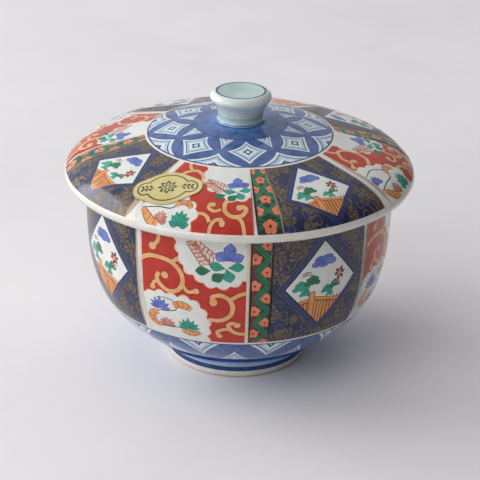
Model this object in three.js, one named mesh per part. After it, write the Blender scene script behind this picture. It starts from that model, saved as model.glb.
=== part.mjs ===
// Lidded porcelain rice bowl: a footed bowl, an overhanging lid with a glued-on knob, and a foil sticker on the lid.
// Millimetres, +Z up. The origin is on the ground at the centre of the foot ring.
import * as THREE from "three";

const turnSteps = 80; // straight sides around each turned piece

// Bowl
const footOuterR = 25.9;
const footInnerR = 20.9;
const footHeight = 7.0;
const recessZ = 6.2; // underside of the floor, inside the foot ring
const floorZ = 11.0; // inside floor at the centre
const bowlRimR = 55.1; // outside radius just under the rim
const bowlRimZ = 75.1;
const bowlWall = 2.5; // wall thickness at the rim

// Lid
const lidR = 62.5;
const lidLipZ = 70.6; // lowest point of the overhanging edge
const lidTopZ = 90.6; // top of the dome, under the knob
const seatGap = 0.2; // between the bowl's rim and the lid that rests on it
const flangeR = 51.3; // outside radius of the ring that keeps the lid centred
const flangeZ = 70.7; // lowest point of that ring

// Knob
const glueGap = 0.1; // between the lid and what is stuck to it
const knobBaseR = 8.7;
const knobWaistR = 7.95;
const knobR = 10.9;
const knobTopZ = 101.2;

// Foil sticker
const foilCentre = [-23.7, -42.2];
const foilTurn = -0.09; // radians, its long side from +X
const foilHalfLong = 11.6;
const foilHalfWide = 8.0;
const foilThickness = 0.2;
const foilSpokes = 48;
const foilRings = 5;

function curve(points, steps) {
  return new THREE.SplineCurve(points.map(([r, z]) => new THREE.Vector2(r, z))).getPoints(steps);
}

function corners(points) {
  return points.map(([r, z]) => new THREE.Vector2(r, z));
}

function turned(name, outline, colour, roughness) {
  const mesh = new THREE.Mesh(new THREE.LatheGeometry(outline, turnSteps));
  mesh.geometry.rotateX(Math.PI / 2);
  mesh.material = new THREE.MeshStandardMaterial({ color: colour, roughness, metalness: 0 });
  mesh.name = name;
  return mesh;
}

// The outside of the lid from the axis to just above its edge
const dome = curve([
  [0, lidTopZ], [8, 90.25], [16, 89.2], [24, 87.65], [33, 85.5], [40, 83.75],
  [47, 81.95], [52, 80.45], [57, 78.2], [59.5, 76.4], [61.6, 74.1],
], 20);

function domeZ(r) {
  const i = dome.findIndex((p) => p.x > r);
  const [a, b] = [dome[i - 1], dome[i]];
  return a.y + ((b.y - a.y) * (r - a.x)) / (b.x - a.x);
}

function makeBowl() {
  const underside = corners([
    [0, recessZ], [footInnerR - 3.2, recessZ], [footInnerR - 1.2, recessZ - 0.7], [footInnerR - 0.2, recessZ - 2.4],
    [footInnerR + 0.5, 0.6], [footInnerR + 1.2, 0],
    [footOuterR - 1.3, 0], [footOuterR - 0.5, 0.6], [footOuterR, 2.6], [footOuterR + 0.1, footHeight - 1.6],
  ]);
  const outside = curve([
    [footOuterR + 0.8, footHeight], [30.1, 8.2], [34.65, 12], [39.5, 16], [43.9, 20], [48.05, 25], [50.8, 30],
    [52.8, 36], [54, 42], [54.6, 48], [54.95, 55], [55.1, 62], [55.15, 69], [bowlRimR, 73.4],
  ], 18);
  const rim = corners([
    [bowlRimR - 0.3, bowlRimZ - 0.5], [bowlRimR - 1.0, bowlRimZ],
    [bowlRimR - 1.7, bowlRimZ - 0.2], [bowlRimR - bowlWall, bowlRimZ - 1.2],
  ]);
  const inside = curve([
    [bowlRimR - bowlWall - 0.1, 69], [52.3, 62], [51.9, 55], [51.3, 48], [50.5, 42], [49.1, 36], [47, 30],
    [44.1, 25], [39.7, 20], [34.3, 16], [27.5, 13], [19, 11.6], [10, 11.1], [0, floorZ],
  ], 15);
  return turned("bowl", [...underside, ...outside, ...rim, ...inside], 0x2b3f86, 0.2);
}

function makeLid() {
  const seatZ = bowlRimZ + seatGap;
  const ceiling = curve([
    [0, 86.3], [8, 86], [16, 85.1], [24, 83.8], [33, 81.8], [40, 80.1], [45, 78.6], [48, 76.8],
    [flangeR - 2.4, 74.2],
  ], 10);
  const flange = corners([
    [flangeR - 2.1, flangeZ + 0.7], [flangeR - 1.5, flangeZ], [flangeR - 0.8, flangeZ], [flangeR - 0.2, flangeZ + 0.8],
    [flangeR, 74.2], [flangeR + 0.2, seatZ - 0.4], [flangeR + 0.8, seatZ],
  ]);
  const eave = curve([[bowlRimR + 0.4, seatZ], [57, 74.95], [58.7, 73.9], [59.6, 72.6], [lidR - 2.4, 71.4]], 5);
  const edge = corners([
    [lidR - 1.8, lidLipZ + 0.2], [lidR - 1.1, lidLipZ], [lidR - 0.3, 71.2], [lidR, 72.2], [lidR - 0.2, 73.2],
  ]);
  const outline = [...ceiling, ...flange, ...eave, ...edge, ...[...dome].reverse()];
  return turned("lid", outline, 0xb03a2a, 0.2);
}

function makeKnob() {
  const base = [0, 3, 6, knobBaseR].map((r) => new THREE.Vector2(r, domeZ(r) + glueGap));
  const side = curve([
    [knobBaseR, 90.6], [knobWaistR + 0.3, 91.3], [knobWaistR, 92.4], [8.3, 94.2], [9.2, 96.2], [10.3, 97.8],
    [knobR, 98.8], [10.75, 99.8], [10.1, 100.6], [9.4, 101.05], [8.8, knobTopZ],
  ], 13);
  const top = corners([[7.6, knobTopZ - 0.1], [5, knobTopZ - 0.35], [2.5, knobTopZ - 0.47], [0, knobTopZ - 0.5]]);
  return turned("lid_knob", [...base, ...side, ...top], 0xc9dcd8, 0.15);
}

// Distance from the sticker's centre to its edge: a round middle with a smaller lobe at each end
function foilReach(angle) {
  const [c, s] = [Math.abs(Math.cos(angle)), Math.sin(angle)];
  const middle = 1 / Math.hypot(c / 8.6, s / foilHalfWide);
  const [lobeLong, lobeWide] = [4.3, 4.6];
  const lobeX = foilHalfLong - lobeLong;
  const qa = (c / lobeLong) ** 2 + (s / lobeWide) ** 2;
  const qb = (-2 * c * lobeX) / lobeLong ** 2;
  const qc = (lobeX / lobeLong) ** 2 - 1;
  const inside = qb * qb - 4 * qa * qc;
  return inside < 0 ? middle : Math.max(middle, (Math.sqrt(inside) - qb) / (2 * qa));
}

// A thin sheet that follows the dome: two faces built as rings of points, and the edge between them
function makeFoil() {
  const points = [];
  for (const lift of [glueGap, glueGap + foilThickness]) {
    for (let ring = 0; ring <= foilRings; ring += 1) {
      for (let spoke = 0; spoke < (ring ? foilSpokes : 1); spoke += 1) {
        const angle = (spoke / foilSpokes) * 2 * Math.PI;
        const reach = (foilReach(angle) * ring) / foilRings;
        const x = foilCentre[0] + reach * Math.cos(angle + foilTurn);
        const y = foilCentre[1] + reach * Math.sin(angle + foilTurn);
        points.push(x, y, domeZ(Math.hypot(x, y)) + lift);
      }
    }
  }
  const faceSize = 1 + foilRings * foilSpokes;
  const at = (face, ring, spoke) => face * faceSize + (ring ? 1 + (ring - 1) * foilSpokes + (spoke % foilSpokes) : 0);
  const triangles = [];
  for (let spoke = 0; spoke < foilSpokes; spoke += 1) {
    triangles.push(at(1, 0, 0), at(1, 1, spoke), at(1, 1, spoke + 1));
    triangles.push(at(0, 0, 0), at(0, 1, spoke + 1), at(0, 1, spoke));
    for (let ring = 1; ring < foilRings; ring += 1) {
      const [a, b] = [at(1, ring, spoke), at(1, ring, spoke + 1)];
      const [c, d] = [at(1, ring + 1, spoke), at(1, ring + 1, spoke + 1)];
      triangles.push(a, c, d, a, d, b);
      const [e, f] = [at(0, ring, spoke), at(0, ring, spoke + 1)];
      const [g, h] = [at(0, ring + 1, spoke), at(0, ring + 1, spoke + 1)];
      triangles.push(e, h, g, e, f, h);
    }
    const [low, lowNext] = [at(0, foilRings, spoke), at(0, foilRings, spoke + 1)];
    const [high, highNext] = [at(1, foilRings, spoke), at(1, foilRings, spoke + 1)];
    triangles.push(low, lowNext, highNext, low, highNext, high);
  }
  const geometry = new THREE.BufferGeometry();
  geometry.setAttribute("position", new THREE.Float32BufferAttribute(points, 3));
  geometry.setIndex(triangles);
  const mesh = new THREE.Mesh(geometry);
  mesh.material = new THREE.MeshStandardMaterial({ color: 0xcdbf6a, roughness: 0.3, metalness: 0.9 });
  mesh.name = "foil_label";
  return mesh;
}

const group = new THREE.Group();
group.name = "lidded_rice_bowl";
group.add(makeBowl(), makeLid(), makeKnob(), makeFoil());
export default group;
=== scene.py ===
"""Looks of the lidded rice bowl: painted porcelain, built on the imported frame.

Each turned surface follows the outline of its CAD node. The painting is drawn as flat shapes in millimetres,
lists of (points, paint) where later shapes lie over earlier ones. A band of the surface is cut along its
shapes' edges, so every painted area is faces with their own material. The band's repeats are copies of the
first one, turned about the axis.
"""
import math
import random

import bpy
import numpy as np
from mathutils import Matrix, Vector
from mathutils.geometry import delaunay_2d_cdt


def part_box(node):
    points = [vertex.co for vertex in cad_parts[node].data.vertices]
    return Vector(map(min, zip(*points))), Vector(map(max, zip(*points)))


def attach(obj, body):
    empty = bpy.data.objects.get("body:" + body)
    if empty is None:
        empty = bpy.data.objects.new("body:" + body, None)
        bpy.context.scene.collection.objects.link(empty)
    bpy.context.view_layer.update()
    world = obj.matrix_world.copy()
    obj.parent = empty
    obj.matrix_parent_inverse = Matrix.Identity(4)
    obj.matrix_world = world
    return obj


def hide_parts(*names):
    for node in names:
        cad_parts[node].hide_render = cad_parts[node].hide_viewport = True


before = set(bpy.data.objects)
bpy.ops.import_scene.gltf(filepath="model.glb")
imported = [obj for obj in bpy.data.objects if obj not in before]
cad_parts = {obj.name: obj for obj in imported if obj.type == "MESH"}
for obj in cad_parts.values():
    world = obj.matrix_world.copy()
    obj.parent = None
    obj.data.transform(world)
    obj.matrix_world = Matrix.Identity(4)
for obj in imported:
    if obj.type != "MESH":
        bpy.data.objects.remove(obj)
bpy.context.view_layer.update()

MM = 0.001
PLAIN_TURN = 2.5        # degrees between the points of a plain turned surface
PLAIN_STEP = 1.7        # mm between its rings
PAINT_GRID = 2.0        # mm between the points inside a painted band
LINE_STEP = 0.55        # mm between the points of a drawn line
WHOLE_SHEET, INSIDE_EDGES = 0, 1    # what delaunay_2d_cdt keeps of the sheet that it cuts

# Heights on the bowl's outside and radii on the lid's dome, in mm, where one colour ends and the next begins.
# A foot band is its top height, its paint and the mm between its rings.
# The band from 10.4 to 14.6 mm is partly a real blue line and partly painted shade, for the dark shadow above
# the foot.
FOOT_BANDS = ((0.8, "bare_clay", 0.5), (2.9, "white", PLAIN_STEP), (4.7, "cobalt_deep", 0.5),
              (10.4, "cobalt_pale", PLAIN_STEP), (14.6, "cobalt_shaded", 0.7), (15.1, "ice", 0.5))
PANEL_FOOT, PANEL_TOP = 27.5, 74.4
DOME_EDGE, DOME_INNER = 61.9, 33.9
STAR_LINE, STAR_OUTER, STAR_INNER, KNOB_POOL = 33.1, 32.5, 16.8, 11
BOWL_START, LID_START = -37.7, -35.0        # degrees from the front where the first quarter begins
VIEW_WIDE, VIEW_HIGH = 13.3, 16.2           # mm: half sizes of the diamond on the bowl
LABEL_TURN = -0.09                          # radians
LABEL_GAP, LABEL_LIFT = 0.1, 0.3            # mm: the foil's underside and top above the dome


# ---- curves and flat shapes

def smooth_line(points, step=LINE_STEP, closed=False):
    """A smooth curve through the points, with a point about every step."""
    p = np.asarray(points, float)
    if closed:
        p = np.vstack([p[-1], p, p[0], p[1]])
    gap = np.linalg.norm(np.diff(p, axis=0), axis=1)[:, None]
    slope = np.diff(p, axis=0) / gap
    bend = (slope[:-1] * gap[1:] + slope[1:] * gap[:-1]) / (gap[1:] + gap[:-1])
    tangent = np.vstack([slope[:1], bend, slope[-1:]])
    spans = range(1, len(p) - 2) if closed else range(len(p) - 1)
    parts = []
    for i in spans:
        count = max(1, math.ceil(gap[i, 0] / step))
        t = np.arange(count)[:, None] / count
        start = (1 + 2 * t) * (1 - t) ** 2 * p[i] + t * (1 - t) ** 2 * gap[i] * tangent[i]
        end = t * t * (3 - 2 * t) * p[i + 1] + t * t * (t - 1) * gap[i] * tangent[i + 1]
        parts.append(start + end)
    if not closed:
        parts.append(p[-1:])
    return np.vstack(parts)


def ribbon(points, width, thin_ends=False):
    """The outline of a brush line of this width along a smooth curve."""
    line = smooth_line(points)
    along = np.gradient(line, axis=0)
    along /= np.linalg.norm(along, axis=1)[:, None]
    across = np.stack([-along[:, 1], along[:, 0]], axis=1)
    half = np.full(len(line), width / 2)
    if thin_ends:
        half *= np.sin(np.linspace(0.12, 0.88, len(line)) * math.pi) ** 0.6
    side = across * half[:, None]
    return np.vstack([line + side, (line - side)[::-1]])


def disc(x, y, radius, squash=1.0, count=14):
    """A round of count points. squash is its height over its width."""
    a = np.linspace(0, 2 * math.pi, count, endpoint=False)
    return np.stack([x + radius * np.cos(a), y + radius * squash * np.sin(a)], axis=1)


def leaf(x, y, turn, length, width, blunt=0.0):
    """A leaf that starts at x, y and points along turn, in degrees. blunt moves its widest place outward."""
    t = np.linspace(0, 1, 7)
    bulge = np.sin(math.pi * t ** (1 + blunt)) * width / 2
    upper = np.stack([t * length, bulge], axis=1)
    lower = np.stack([t[::-1] * length, -bulge[::-1]], axis=1)[1:-1]
    return set_down(np.vstack([upper, lower]), x, y, turn)


def star(x, y, half_wide, up, down, pinch):
    """A four-pointed star with hollow sides. pinch 0.5 gives straight sides."""
    tips = [(half_wide, 0), (0, up), (-half_wide, 0), (0, -down)]
    t = np.linspace(0, 1, 9)[:-1, None]
    sides = []
    for a, b in zip(tips, tips[1:] + tips[:1]):
        a, b = np.array(a), np.array(b)
        middle = (a + b) * pinch
        sides.append((1 - t) ** 2 * a + 2 * t * (1 - t) * middle + t * t * b)
    return np.vstack(sides) + (x, y)


def scalloped(points, lobe, depth):
    """A closed smooth outline whose edge swells out in round lobes."""
    line = smooth_line(points, 0.5, closed=True)
    along = np.gradient(np.vstack([line[-1], line, line[0]]), axis=0)[1:-1]
    gap = np.linalg.norm(np.diff(np.vstack([line, line[:1]]), axis=0), axis=1)
    run = np.concatenate([[0], np.cumsum(gap)[:-1]])
    lobes = max(3, round(gap.sum() / lobe))
    swell = np.abs(np.sin(math.pi * lobes * run / gap.sum())) * depth
    out = np.stack([along[:, 1], -along[:, 0]], axis=1) / np.linalg.norm(along, axis=1)[:, None]
    after = np.roll(line, -1, axis=0)
    turn = np.sign((line[:, 0] * after[:, 1] - line[:, 1] * after[:, 0]).sum())
    return line + out * swell[:, None] * turn


def set_down(points, x, y, turn, size=1.0):
    """Points made larger or smaller about 0, 0, turned by degrees and then moved."""
    c, s = math.cos(math.radians(turn)) * size, math.sin(math.radians(turn)) * size
    return points @ np.array([[c, s], [-s, c]]) + (x, y)


def moved(shapes, x=0.0, y=0.0, turn=0.0, size=1.0):
    """Painted shapes made larger or smaller, turned by degrees and then moved."""
    return [(set_down(shape, x, y, turn, size), paint) for shape, paint in shapes]


def clipped(shape, axis, limit, keep_above):
    """The part of a flat shape on one side of a line across the given axis."""
    side = (shape[:, axis] - limit) * (1 if keep_above else -1)
    kept = []
    for a, b, da, db in zip(shape, np.roll(shape, -1, axis=0), side, np.roll(side, -1)):
        if da >= 0:
            kept.append(a)
        if (da < 0) != (db < 0):
            kept.append(a + (b - a) * da / (da - db))
    return np.array(kept)


def within(shapes, limits):
    """The parts of the shapes that keep to every limit. limits holds (axis, limit, whether above is kept)."""
    kept = []
    for shape, paint in shapes:
        for axis, limit, keep_above in limits:
            if len(shape):
                shape = clipped(shape, axis, limit, keep_above)
        if len(shape) > 2:
            kept.append((shape, paint))
    return kept


def covered(points, shape):
    """Which points lie inside the shape, by how often its edge winds round them."""
    near = ((points >= shape.min(axis=0)) & (points <= shape.max(axis=0))).all(axis=1)
    x, y = points[near, :1], points[near, 1:]
    a, b = shape, np.roll(shape, -1, axis=0)
    left = (b[:, 0] - a[:, 0]) * (y - a[:, 1]) - (x - a[:, 0]) * (b[:, 1] - a[:, 1])
    up = (a[:, 1] <= y) & (b[:, 1] > y) & (left > 0)
    down = (a[:, 1] > y) & (b[:, 1] <= y) & (left < 0)
    inside = np.zeros(len(points), bool)
    inside[near] = up.sum(axis=1) != down.sum(axis=1)
    return inside


def cut_sheet(outlines, grid, scale, keep):
    """A flat sheet cut along the outlines, as points and triangles. It is cut with x in mm, x times scale."""
    points, edges = [], []
    for shape in outlines:
        start = len(points)
        points += [Vector((x * scale, y)) for x, y in shape]
        edges += [(start + i, start + (i + 1) % len(shape)) for i in range(len(shape))]
    points += [Vector((x * scale, y)) for x, y in grid]
    cut = delaunay_2d_cdt(points, edges, [], keep, 1e-4, False)
    return np.array([(v.x / scale, v.y) for v in cut[0]]), np.array([list(f) for f in cut[2]])


def painted(flat, triangles, shapes, ground):
    """The paint of each triangle, from the last shape that covers its middle."""
    centres = flat[triangles].mean(axis=1)
    paints = np.array([ground] * len(triangles), dtype=object)
    for shape, paint in shapes:
        paints[covered(centres, shape)] = paint
    return list(paints)


# ---- turned surfaces

def outline(node):
    """The turned node's outline in mm, from the axis below, round the outside, to the axis above: r and z."""
    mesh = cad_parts[node].data
    place = {}
    for v in mesh.vertices:
        if abs(v.co.y) < 1e-7 and v.co.x > -1e-7:
            place[v.index] = (round(v.co.x / MM, 3), round(v.co.z / MM, 3))
    joined = {}
    for edge in mesh.edges:
        a, b = (place.get(i) for i in edge.vertices)
        if a and b and a != b:
            joined.setdefault(a, set()).add(b)
            joined.setdefault(b, set()).add(a)
    path = [min((p for p in joined if p[0] < 0.001), key=lambda p: p[1])]
    while len(path) < 2 or path[-1][0] > 0.001:
        path.append(min(joined[path[-1]] - set(path)))
    return np.array(path)


class Turned:
    """A turned node's outline as a smooth curve, measured in mm along it from its lower end on the axis."""

    def __init__(self, node):
        corners = outline(node)
        self.line = np.clip(smooth_line(corners, 0.05), corners.min(axis=0), corners.max(axis=0))
        step = np.diff(self.line, axis=0)
        self.run = np.concatenate([[0], np.cumsum(np.linalg.norm(step, axis=1))])
        slope = np.gradient(self.line, axis=0)
        slope /= np.linalg.norm(slope, axis=1)[:, None]
        self.facing = np.stack([slope[:, 1], -slope[:, 0]], axis=1)
        self.end = self.run[-1]
        self.rim = int(np.argmax(self.line[:, 0]))
        self.top = int(np.argmax(self.line[:, 1]))

    def at_height(self, z):
        """The distance to height z on the outside, between the lowest point and the highest."""
        low = int(np.argmin(self.line[: self.top, 1]))
        part = slice(low, self.top + 1)
        return float(np.interp(z, np.maximum.accumulate(self.line[part, 1]), self.run[part]))

    def at_radius(self, r):
        """The distance to radius r above the widest point."""
        part = slice(self.rim, None)
        return np.interp(-r, -self.line[part, 0], self.run[part])

    def height(self, r):
        """The height at radius r above the widest point."""
        part = slice(self.rim, None)
        return np.interp(-r, -self.line[part, 0], self.line[part, 1])

    def solid(self, degrees, run):
        """Places in mm and outward directions, at degrees from the front, -Y, and distances along."""
        r, z, out, up = (np.interp(run, self.run, column) for column in
                         (self.line[:, 0], self.line[:, 1], self.facing[:, 0], self.facing[:, 1]))
        a = np.radians(degrees)
        size = np.hypot(out, up)
        places = np.stack([r * np.sin(a), -r * np.cos(a), z], axis=1)
        faces = np.stack([out * np.sin(a), -out * np.cos(a), up], axis=1) / size[:, None]
        return places, faces


class Skin:
    """What one piece is built from: patches of points, directions, triangles and paint names."""

    def __init__(self):
        self.places, self.facing, self.triangles, self.paints = [], [], [], []
        self.count = 0

    def add(self, places, facing, triangles, paints):
        """One more patch, with triangles numbered from its own first point."""
        self.places.append(places)
        self.facing.append(facing)
        self.triangles.append(np.asarray(triangles) + self.count)
        self.paints += paints
        self.count += len(places)

    def piece(self, name, body):
        """The piece itself, with the points that lie on each other joined."""
        places = np.vstack(self.places)
        same, first, joined = np.unique(np.round(places, 4), axis=0, return_index=True, return_inverse=True)
        triangles = joined.reshape(-1)[np.vstack(self.triangles)]
        whole = (triangles != np.roll(triangles, 1, axis=1)).all(axis=1)
        names = sorted(set(self.paints))
        number = {paint: i for i, paint in enumerate(names)}
        slots = np.array([number[p] for p in self.paints])[whole]
        mesh = bpy.data.meshes.new(name)
        mesh.from_pydata((same * MM).tolist(), [], triangles[whole].tolist())
        for paint in names:
            mesh.materials.append(PAINTS[paint])
        mesh.polygons.foreach_set("material_index", slots.astype(np.int32))
        mesh.polygons.foreach_set("use_smooth", np.ones(len(slots), bool))
        mesh.normals_split_custom_set_from_vertices(np.vstack(self.facing)[first].tolist())
        piece = bpy.data.objects.new(name, mesh)
        bpy.context.scene.collection.objects.link(piece)
        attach(piece, body)
        return piece


def plain_rings(skin, turned, low, high, paint, spacing=PLAIN_STEP):
    """One plain-painted stretch of a turned surface, all the way round."""
    rings = max(2, math.ceil((high - low) / spacing) + 1)
    steps = round(360 / PLAIN_TURN)
    runs, turns = np.meshgrid(np.linspace(low, high, rings), np.arange(steps) * PLAIN_TURN, indexing="ij")
    places, facing = turned.solid(turns.ravel(), runs.ravel())
    triangles = []
    for i in range(rings - 1):
        for j in range(steps):
            a, b = i * steps + j, i * steps + (j + 1) % steps
            triangles += [(a, b, b + steps), (a, b + steps, a + steps)]
    skin.add(places, facing, triangles, [paint] * len(triangles))


def painted_band(skin, turned, low, high, first, repeats, ground, art):
    """A painted stretch between two distances along the outline, repeated round the axis. art holds shapes in
    degrees from first and mm along."""
    wide = 360 / repeats
    middle = turned.solid(np.zeros(1), np.array([(low + high) / 2]))[0][0]
    scale = math.hypot(middle[0], middle[1]) * math.radians(1)
    columns = max(2, round(wide * scale / PAINT_GRID)) + 1
    rows = max(2, round((high - low) / PAINT_GRID)) + 1
    across, along = np.linspace(0, wide, columns), np.linspace(low, high, rows)
    edge = [(x, low) for x in across[:-1]] + [(wide, y) for y in along[:-1]]
    edge += [(x, high) for x in across[:0:-1]] + [(0, y) for y in along[:0:-1]]
    grid = [(x, y) for x in across[1:-1] for y in along[1:-1]]
    shapes = within(art, ((0, 0, True), (0, wide, False), (1, low, True), (1, high, False)))
    flat, triangles = cut_sheet([edge] + [shape for shape, paint in shapes], grid, scale, WHOLE_SHEET)
    paints = painted(flat, triangles, shapes, ground)
    for i in range(repeats):
        places, facing = turned.solid(flat[:, 0] + first + i * wide, flat[:, 1])
        skin.add(places, facing, triangles, paints)


# ---- glazes and enamels

SPECKS, PATCHES, WAVES, GRAIN = 2600, 500, 95, 1800     # lumps per metre


def tone(code):
    """A screen colour such as "c02a1a" as the shader's linear red, green, blue, alpha."""
    parts = [int(code[i:i + 2], 16) / 255 for i in (0, 2, 4)]
    return [p / 12.92 if p <= 0.04045 else ((p + 0.055) / 1.055) ** 2.4 for p in parts] + [1.0]


def node(tree, kind, **inputs):
    """A new shader node with its inputs set by name, with _ for a space."""
    made = tree.nodes.new(kind)
    for name, value in inputs.items():
        made.inputs[name.replace("_", " ")].default_value = value
    return made


def noise(tree, scale, detail=3.0):
    """A noise value that stays with the object. scale is in lumps per metre."""
    place = tree.nodes.new("ShaderNodeTexCoord")
    made = node(tree, "ShaderNodeTexNoise", Scale=scale, Detail=detail, Roughness=0.6)
    tree.links.new(place.outputs["Object"], made.inputs["Vector"])
    return made.outputs["Fac"]


def spread(tree, value, low, high, to_low=0.0, to_high=1.0):
    """The value's range from low to high spread over another range, and held at its ends."""
    made = node(tree, "ShaderNodeMapRange", From_Min=low, From_Max=high, To_Min=to_low, To_Max=to_high)
    tree.links.new(value, made.inputs["Value"])
    return made.outputs["Result"]


def blend_colours(tree, amount, first, second):
    """Colours may be lists or another node's output."""
    mix = tree.nodes.new("ShaderNodeMix")
    mix.data_type = "RGBA"
    tree.links.new(amount, mix.inputs[0])
    for socket, colour in ((mix.inputs[6], first), (mix.inputs[7], second)):
        if isinstance(colour, list):
            socket.default_value = colour
        else:
            tree.links.new(colour, socket)
    return mix.outputs[2]


def fired(name, colour, thin, pool=300, rough=0.1, raised=0.0, metal=0.0, speck_share=0.35, gloss=0.5):
    """A fired colour that pools from a full tone to a thin one, with pigment specks and a wavy surface."""
    material = bpy.data.materials.new(name)
    material.use_nodes = True
    tree = material.node_tree
    shader = tree.nodes["Principled BSDF"]
    full, pale = tone(colour), tone(thin)
    pooled = blend_colours(tree, spread(tree, noise(tree, pool), 0.35, 0.68), full, pale)
    specks = spread(tree, noise(tree, SPECKS, 2.0), 0.52, 0.72, 0.0, speck_share)
    tree.links.new(blend_colours(tree, specks, pooled, pale), shader.inputs["Base Color"])
    patchy = spread(tree, noise(tree, PATCHES), 0.3, 0.7, rough * 0.75, rough * 1.35)
    tree.links.new(patchy, shader.inputs["Roughness"])
    shader.inputs["Metallic"].default_value = metal
    shader.inputs["Specular IOR Level"].default_value = gloss
    wave = node(tree, "ShaderNodeBump", Strength=0.12, Distance=0.0006)
    tree.links.new(noise(tree, WAVES, 1.0), wave.inputs["Height"])
    grain = node(tree, "ShaderNodeBump", Strength=0.1 + raised, Distance=0.00006)
    tree.links.new(noise(tree, GRAIN, 2.0), grain.inputs["Height"])
    tree.links.new(wave.outputs["Normal"], grain.inputs["Normal"])
    tree.links.new(grain.outputs["Normal"], shader.inputs["Normal"])
    return material


PAINTS = {
    "white": fired("white_glaze", "dbd8d0", "e5e2db", speck_share=0.1),
    "bare_clay": fired("bare_clay", "cdbfae", "d9cdbd", rough=0.6),
    "red": fired("red_enamel", "ae1f0d", "bf2c16", rough=0.16, raised=0.1),
    "tan": fired("tan_enamel", "dd9a5c", "e8b27c", rough=0.25, raised=0.3),
    "cream": fired("cream_line", "d6c3ab", "dfd2c0", rough=0.25, raised=0.2),
    "maroon": fired("maroon_line", "5e1810", "7a2618", rough=0.25),
    "blush": fired("blush_enamel", "e0a892", "ecc7b6", rough=0.2, raised=0.2),
    "rose": fired("rose_enamel", "c0705e", "d99d8c", rough=0.2, raised=0.2),
    "teal": fired("teal_enamel", "128a72", "2fa890", rough=0.16, raised=0.3),
    "teal_dark": fired("teal_vein", "0a4a42", "12604f", rough=0.2),
    "green": fired("green_enamel", "0b6340", "177a55", rough=0.16, raised=0.3),
    "green_dark": fired("green_ground", "15281f", "1e3a2d", rough=0.16),
    "salmon": fired("salmon_enamel", "d66c46", "e28662", rough=0.2, raised=0.3),
    "blue": fired("blue_enamel", "4358b2", "6f86ca", rough=0.15, raised=0.3),
    "blue_dark": fired("blue_vein", "26336f", "37468a", rough=0.2),
    "orange": fired("orange_enamel", "d98843", "e6a260", rough=0.2, raised=0.3),
    "ink": fired("ink_line", "2a201c", "41322a", rough=0.25),
    "navy": fired("navy_ground", "191f38", "25305c", pool=420, rough=0.12, speck_share=0.5),
    "navy_blue": fired("navy_highlight", "22305f", "303f7c", pool=500, rough=0.12),
    "navy_dark": fired("navy_line", "0f1222", "191d33", rough=0.12),
    "bronze": fired("bronze_foliage", "57493c", "7a6a58", pool=600, rough=0.36, raised=0.3, metal=0.25),
    "gold_line": fired("gold_line", "97805c", "b09a76", rough=0.34, raised=0.3, metal=0.4),
    "cobalt": fired("cobalt_wash", "29477f", "4f6ca6", pool=260, speck_share=0.3),
    "cobalt_deep": fired("cobalt_line", "183263", "2b4a86"),
    # Partly a real blue line and partly painted shade: it runs wide up the lower body and has no gloss, so it
    # stays dark like the shadow under the bowl.
    "cobalt_shaded": fired("cobalt_under_line_and_painted_shade", "24468a", "33599c", gloss=0.0),
    "cobalt_bright": fired("cobalt_pool", "2f62a6", "4f84bf"),
    "cobalt_pale": fired("cobalt_pale", "9db6d3", "b8cbdf", pool=400),
    "ice": fired("pale_wash", "ccdade", "dae4e2"),
    "scene": fired("scene_ground", "d6d9d4", "e1e3de", speck_share=0.1),
    "celadon": fired("celadon_glaze", "c9d6d2", "dfe6e3", pool=120, rough=0.07),
    "celadon_deep": fired("celadon_pool", "9dbbb6", "b6cfca", pool=120, rough=0.06),
    "foil": fired("gold_foil", "e0d07e", "ecdf9e", pool=200, rough=0.3, raised=0.2, metal=0.3,
                  speck_share=0.2),
}


# ---- motifs, in mm, growing up from 0, 0

def scrolls(lines, balls):
    """Scrolling stems with a dark edge. lines holds (points, width), balls holds (x, y, radius)."""
    shapes = []
    for grow, paint in ((0.32, "maroon"), (0, "tan")):
        shapes += [(ribbon(points, width + 2 * grow), paint) for points, width in lines]
        shapes += [(disc(x, y, radius + grow), paint) for x, y, radius in balls]
    return shapes


def fern():
    """A feathery spray with small rounded leaves set out from a thick stem."""
    length = 10.0
    shapes = []
    for i in range(6):
        share = i / 5
        y = length * (0.04 + 0.82 * share)
        out = 3.0 - 1.7 * share
        for side in (-1, 1):
            turn = 90 - side * (46 - 16 * share)
            c, s = math.cos(math.radians(turn)), math.sin(math.radians(turn))
            shapes.append((bar(0, y, out * c, y + out * s, 0.28), "maroon"))
            for size, width, paint in ((2.7, 2.0, "maroon"), (2.15, 1.4, "blush")):
                away = out * 0.65 + (2.7 - size) / 2
                shapes.append((leaf(away * c, y + away * s, turn, size, width, 0.5), paint))
    for side in (-1, 1):
        shapes.append((leaf(0, length * 0.92, 90 + side * 24, 2.4, 1.4, 0.6), "maroon"))
        shapes.append((leaf(0, length * 0.92 + 0.2, 90 + side * 24, 1.9, 0.9, 0.6), "blush"))
    stem = [(0, -0.8), (-0.3, length * 0.35), (0.1, length * 0.7), (0, length)]
    shapes.append((ribbon(stem, 1.0), "maroon"))
    shapes.append((ribbon(stem, 0.6), "salmon"))
    return shapes


def veined_leaf(x, y, turn, length, width, paint, vein):
    """One rounded leaf or petal with a dark edge and a middle vein."""
    c, s = math.cos(math.radians(turn)), math.sin(math.radians(turn))
    return [(leaf(x - 0.15 * c, y - 0.15 * s, turn, length + 0.35, width + 0.35, 0.35), vein),
            (leaf(x, y, turn, length, width, 0.35), paint),
            (bar(x, y, x + length * 0.6 * c, y + length * 0.6 * s, 0.2), vein)]


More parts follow.
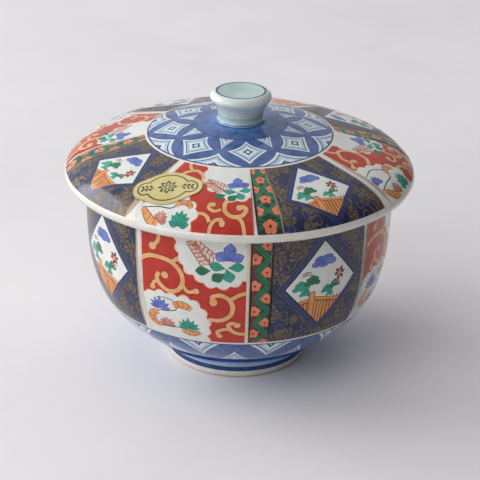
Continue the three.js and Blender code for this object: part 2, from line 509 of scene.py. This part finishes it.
def flower_spray():
    """A fern, a blue flower and a cluster of green leaves, round the place where the green leaves meet."""
    shapes = moved(fern(), -3.7, 0.9, 41)
    for turn, length, width in ((148, 4.6, 3.9), (22, 5.2, 3.3), (84, 6.4, 3.8)):
        shapes += veined_leaf(1.0, 3.0, turn, length, width, "blue", "blue_dark")
    for x, y, turn, length, width, paint in (
            (-4.6, -1.0, 188, 5.0, 3.3, "green"), (-0.3, -1.8, 217, 4.8, 3.5, "green"),
            (0.4, -0.1, -75, 5.0, 3.7, "teal"), (0.1, 0.0, 168, 5.2, 3.2, "teal"),
            (0.9, 0.3, 8, 5.0, 3.1, "teal")):
        shapes += veined_leaf(x, y, turn, length, width, paint, "teal_dark")
    return shapes


def spiky_plant(paint, edge, height=4.6):
    """A tuft of pointed leaves that opens like a fan."""
    shapes = []
    for turn, share in ((12, 0.85), (168, 0.85), (38, 0.95), (142, 0.95), (64, 1.0), (116, 1.0), (90, 1.1)):
        shapes.append((leaf(0, -0.1, turn, height * share + 0.25, 1.6), edge))
        shapes.append((leaf(0, 0, turn, height * share, 1.25), paint))
    return shapes


def banded_tail(points, width, bands=4):
    """A curled orange tail with dark cross bands, thick in its middle."""
    shapes = [(ribbon(points, width + 0.45, True), "ink"), (ribbon(points, width, True), "orange")]
    line = smooth_line(points)
    for i in range(1, bands + 1):
        k = round(len(line) * i / (bands + 1))
        ahead = line[min(k + 1, len(line) - 1)] - line[k - 1]
        turn = math.degrees(math.atan2(ahead[1], ahead[0]))
        arc = [(-0.25, -width * 0.45), (0.2, 0), (-0.25, width * 0.45)]
        shapes += moved([(ribbon(arc, 0.22), "maroon")], line[k][0], line[k][1], turn)
    return shapes


def stream():
    """A winding stream in a dark line with orange waves, about 19 mm wide and 16 mm high."""
    bends = [(4.2, 15.6), (8.2, 16.2), (11.6, 14.6), (11.4, 12.2), (8.6, 11.1), (5.2, 10.4), (2.2, 8.4),
             (1.4, 5.6), (3.4, 3.6), (7.4, 3.7), (12.4, 4.2), (18.6, 3.4)]
    shapes = [(ribbon(bends, 0.45, True), "ink")]
    shapes += banded_tail([(10.6, 13.6), (12.6, 14.6), (14.8, 14.4), (17.0, 13.2)], 2.6, 3)
    shapes += banded_tail([(4.6, 9.6), (2.4, 8.6), (1.4, 6.6), (2.4, 4.4), (5.0, 3.4)], 2.6, 4)
    shapes += banded_tail([(12.4, 3.2), (14.8, 2.4), (17.2, 2.4), (19.4, 3.6)], 2.2, 4)
    return shapes


def pond_plants():
    """What grows round the stream."""
    shapes = moved(spiky_plant("blue", "blue_dark"), 5.6, 11.6)
    shapes += moved(spiky_plant("rose", "maroon", 3.6), 7.6, 4.4)
    return shapes + moved(spiky_plant("teal", "teal_dark"), 15.6, 4.8)


def blossom(radius=1.9):
    """Five round petals about a dark middle."""
    out = radius * 0.58
    petals = [disc(out * math.cos(a), out * math.sin(a), radius * 0.46, count=10)
              for a in np.radians(np.arange(5) * 72 + 90)]
    return [(petal, "salmon") for petal in petals] + [(disc(0, 0, radius * 0.22, count=10), "maroon")]


def box_shape(x0, y0, x1, y1):
    """An upright rectangle."""
    return np.array([(x0, y0), (x1, y0), (x1, y1), (x0, y1)], float)


def bar(x0, y0, x1, y1, width):
    """A straight strip."""
    along = np.array([x1 - x0, y1 - y0], float)
    side = np.array([-along[1], along[0]]) / np.linalg.norm(along) * width / 2
    a, b = np.array([x0, y0]), np.array([x1, y1])
    return np.array([a - side, b - side, b + side, a + side])


def lattice(width, height, cell_high):
    """Crossing double bands as wide as one opening, with a blossom in each opening."""
    shapes = [(box_shape(0, 0, width, height), "green_dark")]
    middle = width / 2
    rows = range(-3, math.ceil(height / cell_high) + 3)
    for i in rows:
        for side in (-1, 1):
            for gap in (-1.05, 1.05):
                y, rise = i * cell_high + gap, 2 * side * cell_high
                ends = (middle - 2 * width, y - rise, middle + 2 * width, y + rise)
                shapes.append((bar(*ends, 0.8), "green"))
    for i in rows:
        shapes += moved(blossom(), middle, (i + 0.5) * cell_high)
        for side in (-1, 1):
            shapes += moved(blossom(), middle + side * width / 2, i * cell_high)
    return shapes


def zigzag(width, height, period):
    """One double band that goes from side to side, with a blossom in each bend."""
    shapes = [(box_shape(0, 0, width, height), "green_dark")]
    shapes.append((box_shape(0, 0, width * 0.25, height), "maroon"))
    sides = (width * 0.2, width * 0.92)
    for i in range(-1, math.ceil(height / period) + 1):
        y = i * period
        shapes += moved(blossom(2.1), width * 0.78, y)
        shapes += moved(blossom(2.1), width * 0.16, y + period / 2)
    corners = [(sides[i % 2], i * period / 2) for i in range(-2, math.ceil(height / period) * 2 + 2)]
    for band, paint in ((2.2, "ink"), (1.8, "green"), (0.25, "green_dark")):
        for (x0, y0), (x1, y1) in zip(corners, corners[1:]):
            shapes.append((bar(x0, y0, x1, y1, band), paint))
    return shapes


def acanthus(rng):
    """A lobed leaf with a dark vein and a curling tendril."""
    shapes = []
    for side in (-1, 1):
        for place, turn, length in ((0.2, 66, 2.3), (1.6, 48, 2.7), (3.2, 34, 2.3)):
            shapes.append((leaf(place, 0, side * turn, length * rng.uniform(0.9, 1.3), 1.25, 0.3), "bronze"))
    shapes.append((leaf(0, 0, 0, 6.6, 1.9), "bronze"))
    shapes.append((bar(0.2, 0, 5.6, 0, 0.25), "navy_dark"))
    for side in (-1, 1):
        for place in (0.9, 2.4):
            shapes.append((bar(place, 0, place + 1.3, side * 1.4, 0.22), "navy_dark"))
    curl = [(0, 0), (-1.4, 0.6), (-2.4, 1.8), (-1.9, 3.0), (-0.8, 2.9), (-0.7, 2.0)]
    shapes.append((ribbon(curl, 0.42, True), "bronze"))
    return moved(shapes, turn=rng.uniform(0, 360), size=rng.uniform(0.8, 1.1))


def foliage(spots, seed):
    """Bronze leaves and blue patches scattered about the given spots."""
    rng = random.Random(seed)
    shapes = []
    for x, y in spots:
        patch = disc(0, 0, rng.uniform(1.0, 1.9), rng.uniform(0.35, 0.8), 9)
        place = (x + rng.uniform(-3, 3), y + rng.uniform(-3, 3), rng.uniform(0, 180))
        shapes.append((set_down(patch, *place), "navy_blue"))
    for x, y in spots:
        shapes += moved(acanthus(rng), x + rng.uniform(-0.8, 0.8), y + rng.uniform(-0.8, 0.8))
    return shapes


def rosette(paint, edge, size):
    """A small clump of pine needles seen as overlapping rounds."""
    rounds = ((0, 0, 1.0), (-1.5, -0.3, 0.8), (1.5, -0.2, 0.8), (-0.8, 0.9, 0.8), (0.9, 1.0, 0.85),
              (0, 1.7, 0.6))
    shapes = [(disc(x, y, r + 0.14, 0.8), edge) for x, y, r in rounds]
    shapes += [(disc(x, y, r, 0.8), paint) for x, y, r in rounds]
    return moved(shapes, size=size)


def pine(size):
    """A small pine, a trunk with three clumps."""
    shapes = [(ribbon([(0.6, -3.4), (0.2, -1.6), (0.9, 0.2)], 0.45), "ink")]
    shapes += moved(rosette("teal", "teal_dark", 1.0), -1.7, -0.6)
    shapes += moved(rosette("green", "teal_dark", 1.0), 1.5, 0.7)
    shapes += moved(rosette("teal", "teal_dark", 0.7), -0.4, -2.6)
    return moved(shapes, size=size)


def inside_diamond(shapes, half_wide, half_high):
    """The parts of the shapes that lie inside a diamond round 0, 0."""
    squared = []
    for shape, paint in shapes:
        x, y = shape[:, 0] / half_wide, shape[:, 1] / half_high
        squared.append((np.stack([x + y, x - y], axis=1), paint))
    kept = []
    for shape, paint in within(squared, ((0, -1, True), (0, 1, False), (1, -1, True), (1, 1, False))):
        total, gap = shape[:, 0], shape[:, 1]
        back = np.stack([(total + gap) * half_wide / 2, (total - gap) * half_high / 2], axis=1)
        kept.append((back, paint))
    return kept


def landscape(half_wide, half_high):
    """A garden fence, pines, a bird and a cloud in a diamond that fills the given half sizes."""
    w, h = half_wide, half_high
    shapes = [(star(0, 0, w, h, h, 0.5), "scene")]
    cloud = ((-3.0, 7.9, 1.4, 0.7), (-1.4, 9.2, 2.0, 0.8), (1.2, 9.4, 2.3, 0.7), (3.2, 8.2, 1.4, 0.8),
             (0, 7.9, 2.2, 0.6))
    for grow, paint in ((0.2, "blue_dark"), (0, "blue")):
        shapes += [(disc(x, y, r + grow, q), paint) for x, y, r, q in cloud]
    for y in (7.7, 8.7, 9.7):
        shapes.append((ribbon([(-2.8, y), (0, y + 0.35), (3.0, y - 0.3)], 0.25, True), "blue_dark"))
    for y in (5.0, 5.9):
        shapes.append((ribbon([(-8.0, y - 1), (-6.2, y - 0.4), (-4.4, y - 0.5)], 0.45, True), "maroon"))
    shapes += moved(pine(1.25), -5.9, 0.6)
    shapes += moved(pine(0.95), 3.5, -2.2)
    for turn, length in ((15, 2.4), (70, 2.8), (125, 2.6), (180, 2.2), (255, 2.6), (310, 2.4)):
        shapes.append((leaf(6.6, 2.4, turn, length, 1.3, 0.4), "maroon"))
    shapes.append((disc(6.6, 2.4, 0.85), "rose"))
    for x, y in ((5.4, -0.4), (6.6, -1.2), (7.4, -0.1)):
        shapes.append((ribbon([(x - 1.1, y - 0.5), (x, y), (x + 1.1, y + 0.5)], 0.35, True), "rose"))
    right, left = (w, -8.6), (-w, -6.4)     # where the two rails run to, past the diamond's edge
    fence = [left, (-4.8, -4.9), (-2.8, -4.5), right, (w, -h), (-w, -h)]
    shapes.append((np.array(fence), "orange"))
    for i in range(9):
        x = -1.4 + i * 1.3
        shapes.append((bar(x, -5.6, x - 0.3, -h, 0.4), "maroon"))
    for i in range(4):
        x = -5.4 - i * 1.2
        shapes.append((bar(x, -6.0, x + 0.3, -h, 0.35), "maroon"))
    for (x0, y0), (x1, y1) in (((-2.8, -4.5), right), ((-4.8, -4.9), left)):
        shapes.append((bar(x0, y0 - 0.6, x1, y1 - 0.6, 1.7), "maroon"))
        shapes.append((bar(x0, y0 - 0.5, x1, y1 - 0.5, 1.1), "orange"))
    shapes.append((box_shape(-4.95, -h, -2.55, -2.2), "maroon"))
    shapes.append((box_shape(-4.65, -h, -2.85, -2.5), "orange"))
    return inside_diamond(shapes, w, h)


def framed_landscape(half_wide, half_high):
    """The landscape with the blue band and fine lines round its diamond."""
    shapes = []
    for grow, paint in ((2.5, "bronze"), (2.25, "navy_dark"), (1.9, "navy_blue"), (0.55, "navy_dark")):
        w = half_wide + grow * 1.25
        h = w * half_high / half_wide
        shapes.append((star(0, 0, w, h, h, 0.5), paint))
    return shapes + landscape(half_wide, half_high)


# ---- the panels

def between(shapes, low, high):
    """The parts of the shapes whose x lies between low and high."""
    return within(shapes, ((0, low, True), (0, high, False)))


def reserve(points):
    """A pale cloud-shaped space with a softly scalloped edge."""
    return [(scalloped(points, 4.4, 1.25), "tan"), (scalloped(points, 4.4, 0.95), "cream"),
            (scalloped(points, 4.4, 0.55), "scene")]


def bowl_red_panel():
    """The red panel of the bowl, 35.6 mm wide, from its lower left corner."""
    shapes = scrolls(
        [([(-0.3, 30), (2.5, 31.8), (6.4, 32.3), (11, 31.5), (14.1, 28.6), (15, 24.9), (13.3, 21.3),
           (10.2, 20.2), (7.1, 21.9), (5.7, 24.4), (6.6, 26.5)], 1.6),
         ([(6.2, 22.8), (4.8, 22.5), (3.9, 20.4)], 1.25), ([(15, 23.5), (16.6, 21.3), (19.5, 21.9)], 1.25),
         ([(11.4, 31.5), (13.5, 33.4)], 1.4), ([(6.7, 40.6), (6.4, 38.3), (4.3, 35.8)], 1.4),
         ([(6.7, 40.6), (5.2, 44), (0, 45.5)], 1.5),
         ([(25.1, 18.4), (24.8, 20.2), (26.9, 21.2), (30, 19.9), (31.4, 16.5), (30.4, 13), (27.7, 11.1),
           (23.4, 10.9)], 1.6),
         ([(30.8, 19.8), (33.5, 21.6), (36.4, 22.5)], 1.4),
         ([(36.5, 4.9), (33.1, 5.2), (30.8, 6.8), (30, 8.9), (31.2, 10), (32.9, 9.1)], 1.6),
         ([(30.4, 7.2), (28.1, 6.8), (26.1, 5.4), (26.9, 3.5)], 1.4)],
        [(8.7, 26, 1.35), (3.9, 20.4, 1.1), (19.5, 21.9, 1.1), (4.3, 35.8, 1.4), (25.1, 18.2, 1.4),
         (32.9, 9.1, 1.2), (26.9, 3.5, 1.1)])
    shapes += reserve([(13.6, 48), (12.9, 42), (13.5, 36.9), (14.6, 32.8), (16.4, 29.6), (19.5, 27.6),
                       (21.9, 25.6), (25.7, 24.6), (30.4, 24.9), (34.7, 27.2), (38.5, 29), (40, 36), (40, 48),
                       (28, 51)])
    shapes += moved(flower_spray(), 28.9, 31.4)
    shapes += reserve([(-4, 17.4), (1.6, 17.2), (4.4, 18.4), (7.9, 18.8), (12.6, 18.3), (15.7, 18.6),
                       (18.8, 17.3), (21.3, 14.7), (22.8, 10.9), (23.3, 7.2), (22.6, 3.5), (22.2, -0.5),
                       (20, -4), (-4, -4)])
    return shapes + moved(pond_plants(), 0.6, 0.6) + moved(stream(), 0.8, 0.9)


def scattered(width, height, spacing):
    """Places on a staggered grid."""
    rows = math.ceil(height / (spacing * 0.87)) + 1
    return [((j + 0.5 * (i % 2)) * spacing, i * spacing * 0.87)
            for i in range(rows) for j in range(math.ceil(width / spacing) + 1)]


def bowl_art(panel_low, panel_high):
    """One quarter of the bowl's side, in degrees and mm along the outline."""
    high = panel_high - panel_low
    scale = 0.908               # mm in one degree, half way up the panel
    red, green, navy = (1.65, 40.9), (42.8, 49.4), (50.3, 89.0)

    def placed(shapes, sector):
        left, right = sector
        wide = [(shape / (scale, 1) + (left, panel_low), paint) for shape, paint in shapes]
        return between(wide, left, right)

    def whole(sector, paint):
        return [(box_shape(sector[0], panel_low - 1, sector[1], panel_high + 1), paint)]

    spots = [(x, y) for x, y in scattered(36, high, 5.4) if abs(x - 17.5) / 17.5 + abs(y - 22.5) / 21 > 1]
    art = whole((red[0] - 0.2, green[0]), "cream")
    art += whole(red, "red") + placed(bowl_red_panel(), red)
    art += whole((green[0] - 0.45, green[1] + 0.9), "ink") + whole((green[1], green[1] + 0.45), "gold_line")
    art += placed(zigzag(6.0, high, 10.0), green)
    art += whole(navy, "navy") + placed(foliage(spots, 4), navy)
    art += placed(moved(framed_landscape(VIEW_WIDE, VIEW_HIGH), 17.5, 22.5), navy)
    return art + whole((navy[1], navy[1] + 0.2), "cream")


def nested_star(x, y, half_wide, up, down):
    """A pale star with a fine dark line inside it and a small dark star at its middle."""
    layers = ((1.0, "ice"), (0.8, "cobalt_deep"), (0.72, "cobalt_pale"), (0.52, "ice"), (0.3, "cobalt_deep"),
              (0.14, "ice"))
    return [(star(x, y, half_wide * size, up * size, down * size, 0.36), paint) for size, paint in layers]


def plan(points):
    """Places given as degrees from the front and mm from the axis, as flat places seen from above."""
    a, r = np.radians(np.array(points)[:, 0]), np.array(points)[:, 1]
    return np.stack([r * np.sin(a), -r * np.cos(a)], axis=1)


def seen_above(shapes, turn, radius, spin=0.0):
    """Shapes placed on the plan at an angle and a distance from the axis, their tops toward the knob."""
    x, y = plan([(turn, radius)])[0]
    return moved(shapes, x, y, turn + spin)


def lid_art(lid):
    """One quarter of the lid's dome, in degrees from its start and mm along the outline."""
    red, green, navy = (1.9, 39.8), (41.4, 48.6), (49.1, 87.7)

    def wrapped(shapes, sector):
        """Shapes drawn on the plan."""
        flat = []
        for shape, paint in shapes:
            turns = np.degrees(np.arctan2(shape[:, 0], -shape[:, 1])) - LID_START
            flat.append((np.stack([turns, lid.at_radius(np.linalg.norm(shape, axis=1))], axis=1), paint))
        return between(flat, *sector)

    def fanned(shapes, sector, radius, wide):
        """Shapes that widen outward from the sector's left edge, wide degrees for each of their own mm."""
        flat = []
        for shape, paint in shapes:
            runs = lid.at_radius(radius - shape[:, 1])
            flat.append((np.stack([sector[0] + shape[:, 0] * wide, runs], axis=1), paint))
        return between(flat, *sector)

    def whole(sector, paint):
        return [(box_shape(sector[0], 0, sector[1], lid.end), paint)]

    def stems(lines, balls):
        paths = [(plan(points), width) for points, width in lines]
        return scrolls(paths, [(*plan([(turn, radius)])[0], size) for turn, radius, size in balls])

    curls = stems(
        [([(-22.5, 48.3), (-18.6, 46.4), (-16.8, 42.5), (-18.5, 38.6), (-22.5, 37), (-26.5, 38.3),
           (-28.5, 41), (-27.6, 43.4)], 1.4), ([(-27.8, 42.2), (-28.5, 43.6), (-31, 45.5)], 1.1),
         ([(-29, 33.5), (-27.5, 35.5), (-25.2, 37.1)], 1.2),
         ([(-3.8, 49.6), (-5, 52.8), (-4.5, 55.4), (-1.5, 57.2), (1.5, 56.4), (2.5, 53.8), (0.7, 52.9)], 1.5),
         ([(-6, 54.6), (-8.5, 55.4), (-10.6, 53.8), (-9.9, 52.2)], 1.2),
         ([(-14.2, 57.2), (-12.2, 56.7), (-10.2, 57.7), (-9.3, 59.2)], 1.2),
         ([(-9, 62.2), (-8.5, 59.8), (-6.9, 58.3), (-5.1, 58.4)], 1.2),
         ([(-0.8, 56.9), (1.1, 58.8), (1.9, 62.2)], 1.3)],
        [(-25.6, 43.6, 1.2), (-31, 45.5, 1.0), (0.3, 53.6, 1.2), (-9.2, 52.8, 1.0), (-5.2, 59.3, 1.0)])
    reserves = reserve(plan([(-16, 31), (-16.8, 37), (-16, 40.8), (-13.5, 43.8), (-11, 46.0), (-7.5, 47.4),
                             (-5, 49.6), (-0.5, 50.4), (3.5, 49), (8, 48), (8, 31)]))
    reserves += reserve(plan([(-37, 47.8), (-31, 47.4), (-26, 48.4), (-21, 50.4), (-18.2, 52.2),
                              (-15.3, 54.7), (-14.3, 57.7), (-15.2, 60), (-16, 64), (-37, 64)]))
    motifs = seen_above(moved(flower_spray(), size=0.8), -0.9, 46.3, 10)
    motifs += seen_above(moved(spiky_plant("blue", "blue_dark", 3.6), size=0.9), -31.0, 55.6)
    motifs += seen_above(moved(spiky_plant("rose", "maroon", 3.2), size=0.9), -25.3, 60.9)
    motifs += seen_above(moved(spiky_plant("teal", "teal_dark", 3.6), size=1.1), -18.8, 60.9)
    arch = plan([(-34, 51.6), (-31, 50.9), (-27, 50.2), (-23.4, 51.6), (-21.2, 54), (-22.4, 56),
                 (-27.5, 56.8), (-34, 58.6)])
    motifs.append((ribbon(arch, 0.45, True), "ink"))
    motifs += banded_tail(plan([(-22, 55.3), (-20, 53.4), (-17.8, 53.6), (-16.2, 55.4)]), 1.9, 3)
    motifs += banded_tail(plan([(-32.6, 58.4), (-30.4, 59.8), (-28, 61.0), (-25.6, 61.2)]), 1.9, 3)

    spots = []
    for x, y in scattered(72, 62, 4.8):
        turn, r = math.degrees(math.atan2(x - 36, y)), math.hypot(x - 36, y)
        if r > 32 and abs(turn) < 24 and abs(turn) / 18 + abs(r - 49) / 15.5 > 1:
            spots.append((turn + 33.6, r))
    view = []
    for shape, paint in framed_landscape(VIEW_WIDE, VIEW_HIGH):
        reach = np.where(shape[:, 1:] > 0, (1, 13.6 / VIEW_HIGH), (1, 9.8 / VIEW_HIGH))
        view.append((shape * (11.6 / VIEW_WIDE, 1) * reach, paint))

    art = whole((red[0] - 0.2, red[1] + 0.25), "cream") + whole(red, "red")
    art += wrapped(curls + reserves + motifs, red)
    art += whole((green[0] - 0.5, green[0]), "ink") + whole((green[1], navy[0]), "gold_line")
    art += fanned(lattice(6.0, 40, 10.0), green, 65, 1.2)
    art += whole(navy, "navy") + wrapped(foliage(plan(spots), 9), navy)
    art += wrapped(seen_above(view, 32.8, 50.0), navy)
    return art + whole((navy[1], navy[1] + 0.2), "cream")


# ---- the pieces

def finish_piece(skin, name, body, cad_node):
    """Makes the skin's piece on its body and hides its CAD node, so the piece is seen in that node's place.
    """
    piece = skin.piece(name, body)
    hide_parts(cad_node)


def build_bowl():
    """A white inside, the foot's blue lines and stars, and four painted quarters."""
    bowl, skin = Turned("bowl"), Skin()
    ground = bowl.run[int(np.argmin(bowl.line[: bowl.top, 1]))] + 0.3
    plain_rings(skin, bowl, 0, ground, "white")
    low = ground
    for top, paint, spacing in FOOT_BANDS:
        plain_rings(skin, bowl, low, bowl.at_height(top), paint, spacing)
        low = bowl.at_height(top)
    panel_low, panel_high = bowl.at_height(PANEL_FOOT), bowl.at_height(PANEL_TOP)
    high = panel_low - 1.5
    stars = nested_star(15, high - 18.0, 10.4, 12.7, 12.7)
    for x in (0, 30):
        stars += nested_star(x, high + 0.8, 9.8, 12, 12)
    painted_band(skin, bowl, low, high, -15.7, 12, "cobalt", stars)
    plain_rings(skin, bowl, high, high + 0.6, "cobalt_deep", 0.5)
    plain_rings(skin, bowl, high + 0.6, panel_low, "white", 0.5)
    painted_band(skin, bowl, panel_low, panel_high, BOWL_START, 4, "white", bowl_art(panel_low, panel_high))
    plain_rings(skin, bowl, panel_high, bowl.end, "white")
    finish_piece(skin, "painted_bowl", "bowl", "bowl")


def build_lid():
    """A white underside, four painted quarters and a blue middle with two rings of stars."""
    lid, skin = Turned("lid"), Skin()
    edge, inner, line, ring, middle, pool = (
        lid.at_radius(r) for r in (DOME_EDGE, DOME_INNER, STAR_LINE, STAR_OUTER, STAR_INNER, KNOB_POOL))
    plain_rings(skin, lid, 0, edge, "white")
    painted_band(skin, lid, edge, inner, LID_START, 4, "white", lid_art(lid))
    plain_rings(skin, lid, inner, line, "white", 0.5)
    plain_rings(skin, lid, line, ring, "cobalt_deep", 0.5)
    stars = nested_star(22.5, lid.at_radius(24.2), 16.4, 6.6, 7.0)
    for x in (0, 45):
        stars += nested_star(x, lid.at_radius(33.2), 21.0, 7.6, 7.6)
        stars += nested_star(x, lid.at_radius(16.7), 9.4, 6.6, 6.6)
    painted_band(skin, lid, ring, middle, -16.0, 8, "cobalt", stars)
    plain_rings(skin, lid, middle, middle + 0.5, "cobalt_deep", 0.5)
    plain_rings(skin, lid, middle + 0.5, pool, "cobalt")
    plain_rings(skin, lid, pool, lid.end, "cobalt_bright")
    finish_piece(skin, "painted_lid", "lid", "lid")


def build_knob():
    """Pale green glaze that pools at the waist, with blue lines round the foot and the dished top."""
    knob, skin = Turned("lid_knob"), Skin()
    base, waist, line = knob.at_height(90.7), knob.at_height(93.4), knob.at_radius(9.0)
    low = 0
    for high, paint, spacing in (
            (base, "celadon", 0.5), (base + 0.5, "cobalt_bright", 0.25), (base + 0.9, "cobalt_pale", 0.2),
            (waist, "celadon_deep", 0.4), (line, "celadon", 0.4), (line + 0.8, "navy_blue", 0.4),
            (knob.end, "celadon_deep", 0.5)):
        plain_rings(skin, knob, low, high, paint, spacing)
        low = high
    finish_piece(skin, "glazed_knob", "lid", "lid_knob")


LABEL_POINTS = 96
LABEL_ROUNDS = ((0, 8.6, 8.0), (-7.3, 4.3, 4.6), (7.3, 4.3, 4.6))   # mm: place along, half length, half width


def label_edge(inset):
    """The label's edge seen from above, a round middle with a lobe at each end."""
    edge = []
    for a in np.linspace(0, 2 * math.pi, LABEL_POINTS, endpoint=False):
        c, s = math.cos(a), math.sin(a)
        reach = []
        for x, long, wide in LABEL_ROUNDS:
            p = (c / (long - inset)) ** 2 + (s / (wide - inset)) ** 2
            q = c * x / (long - inset) ** 2
            inside = q * q - p * ((x / (long - inset)) ** 2 - 1)
            if inside >= 0:
                reach.append((q + math.sqrt(inside)) / p)
        edge.append((max(reach) * c, max(reach) * s))
    return np.array(edge)


def label_art():
    """A border line, a flower and a sprig at each side."""
    shapes = [(label_edge(0), "foil"), (label_edge(1.4), "ink"), (label_edge(1.9), "foil")]
    for i in range(8):
        shapes += [(leaf(0, 0, i * 45, 3.4, 1.5, 0.5), "ink"), (leaf(0, 0, i * 45, 2.5, 0.6, 0.5), "foil")]
    shapes += [(disc(0, 0, 1.0), "ink"), (disc(0, 0, 0.6), "foil")]
    for side in (-1, 1):
        shapes.append((ribbon([(side * 4.2, 0), (side * 6.0, side * 0.5), (side * 8.4, 0)], 0.35), "ink"))
        for x in (5.0, 6.4, 7.8):
            for lean in (52, -52):
                shapes.append((leaf(side * x, 0, lean if side > 0 else 180 - lean, 1.7, 0.9, 0.4), "ink"))
    return shapes


def build_label():
    """A thin gold foil label that follows the dome."""
    node_low, node_high = (np.array(corner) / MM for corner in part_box("foil_label"))
    lid, skin, shapes = Turned("lid"), Skin(), label_art()
    grid = np.array([(x, y) for x in np.arange(-12, 12.1, 1.0) for y in np.arange(-8, 8.1, 1.0)])
    grid = grid[covered(grid, label_edge(0.4))]
    flat, triangles = cut_sheet([shape for shape, paint in shapes], grid, 1.0, INSIDE_EDGES)
    paints = painted(flat, triangles, shapes, "foil")

    def on_dome(points, lift):
        """Flat points turned with the label and laid lift mm above the dome."""
        c, s = math.cos(LABEL_TURN), math.sin(LABEL_TURN)
        spots = points @ np.array([[c, s], [-s, c]]) + (node_low + node_high)[:2] / 2
        return np.column_stack([spots, lid.height(np.linalg.norm(spots, axis=1)) + lift])

    for lift, side in ((LABEL_LIFT, 1), (LABEL_GAP, -1)):
        skin.add(on_dome(flat, lift), np.tile([0, 0, side], (len(flat), 1)), triangles[:, ::side], paints)
    wall = np.vstack([on_dome(label_edge(0), lift) for lift in (LABEL_GAP, LABEL_LIFT)])
    rim = []
    for a in range(LABEL_POINTS):
        b = (a + 1) % LABEL_POINTS
        rim += [(a, b, b + LABEL_POINTS), (a, b + LABEL_POINTS, a + LABEL_POINTS)]
    skin.add(wall, np.tile([0, 0, 1], (len(wall), 1)), rim, ["foil"] * len(rim))
    finish_piece(skin, "gold_label", "lid", "foil_label")


# ---- surroundings

def build_floor():
    """A pale cloth-like floor."""
    half = 3.0      # m
    corners = [(-half, -half, 0), (half, -half, 0), (half, half, 0), (-half, half, 0)]
    mesh = bpy.data.meshes.new("floor")
    mesh.from_pydata(corners, [], [(0, 1, 2, 3)])
    cloth = bpy.data.materials.new("pale_cloth")
    cloth.use_nodes = True
    tree = cloth.node_tree
    shader = tree.nodes["Principled BSDF"]
    cloudy = spread(tree, noise(tree, 9, 4.0), 0.3, 0.7)
    tree.links.new(blend_colours(tree, cloudy, tone("e4e1e4"), tone("ebe9eb")), shader.inputs["Base Color"])
    shader.inputs["Roughness"].default_value = 0.9
    weave = node(tree, "ShaderNodeBump", Strength=0.15, Distance=0.0003)
    tree.links.new(noise(tree, 900, 2.0), weave.inputs["Height"])
    tree.links.new(weave.outputs["Normal"], shader.inputs["Normal"])
    mesh.materials.append(cloth)
    floor = bpy.data.objects.new("floor", mesh)
    bpy.context.scene.collection.objects.link(floor)


def look_from(place, target):
    """A turn that points an object's -Z from one place to another."""
    return (Vector(target) - Vector(place)).to_track_quat("-Z", "Y")


def add_light(name, place, size, power, colour):
    """A rectangular light aimed at the middle of the bowl."""
    light = bpy.data.lights.new(name, "AREA")
    light.shape = "RECTANGLE"
    light.size, light.size_y = size
    light.energy = power
    light.color = colour
    lamp = bpy.data.objects.new(name, light)
    lamp.location = place
    lamp.rotation_mode = "QUATERNION"
    lamp.rotation_quaternion = look_from(place, (0, 0, 0.05))
    bpy.context.scene.collection.objects.link(lamp)


def add_camera():
    """The photo's view: from a little over half a metre away, 25 degrees down and tipped a little."""
    down, tip = math.radians(24.96), math.radians(1.09)
    aim, away = Vector((0.62 * MM, 0, 43.3 * MM)), 0.58
    camera = bpy.data.cameras.new("camera")
    camera.lens = 118.8
    camera.sensor_width = 36
    camera.dof.use_dof = False
    holder = bpy.data.objects.new("camera", camera)
    place = aim + Vector((0, -math.cos(down), math.sin(down))) * away
    holder.matrix_world = (Matrix.Translation(place) @ Matrix.Rotation(math.pi / 2 - down, 4, "X")
                           @ Matrix.Rotation(tip, 4, "Z"))
    bpy.context.scene.collection.objects.link(holder)
    bpy.context.scene.camera = holder


def add_sky(bright_side, dim, bright, strength):
    """A pale room that grows evenly brighter toward one side, so the glaze shows no hard-edged lamp."""
    world = bpy.data.worlds.new("room")
    world.use_nodes = True
    tree = world.node_tree
    place = tree.nodes.new("ShaderNodeTexCoord")
    toward = tree.nodes.new("ShaderNodeVectorMath")
    toward.operation = "DOT_PRODUCT"
    toward.inputs[1].default_value = Vector(bright_side).normalized()
    tree.links.new(place.outputs["Generated"], toward.inputs[0])
    amount = spread(tree, toward.outputs["Value"], -0.3, 1.0)
    background = tree.nodes["Background"]
    tree.links.new(blend_colours(tree, amount, tone(dim), tone(bright)), background.inputs["Color"])
    background.inputs["Strength"].default_value = strength
    bpy.context.scene.world = world


build_bowl()
build_lid()
build_knob()
build_label()
build_floor()
add_light("window", (-1.25, 0.3, 0.75), (1.1, 0.8), 11, (1.0, 0.99, 0.97))
add_light("left_fill", (-0.9, -0.95, 0.8), (1.0, 0.9), 7, (1.0, 0.99, 0.98))
add_camera()
add_sky((-0.74, 0.36, 0.57), "343438", "fdfdff", 1.04)
bpy.context.scene.view_settings.view_transform = "Standard"
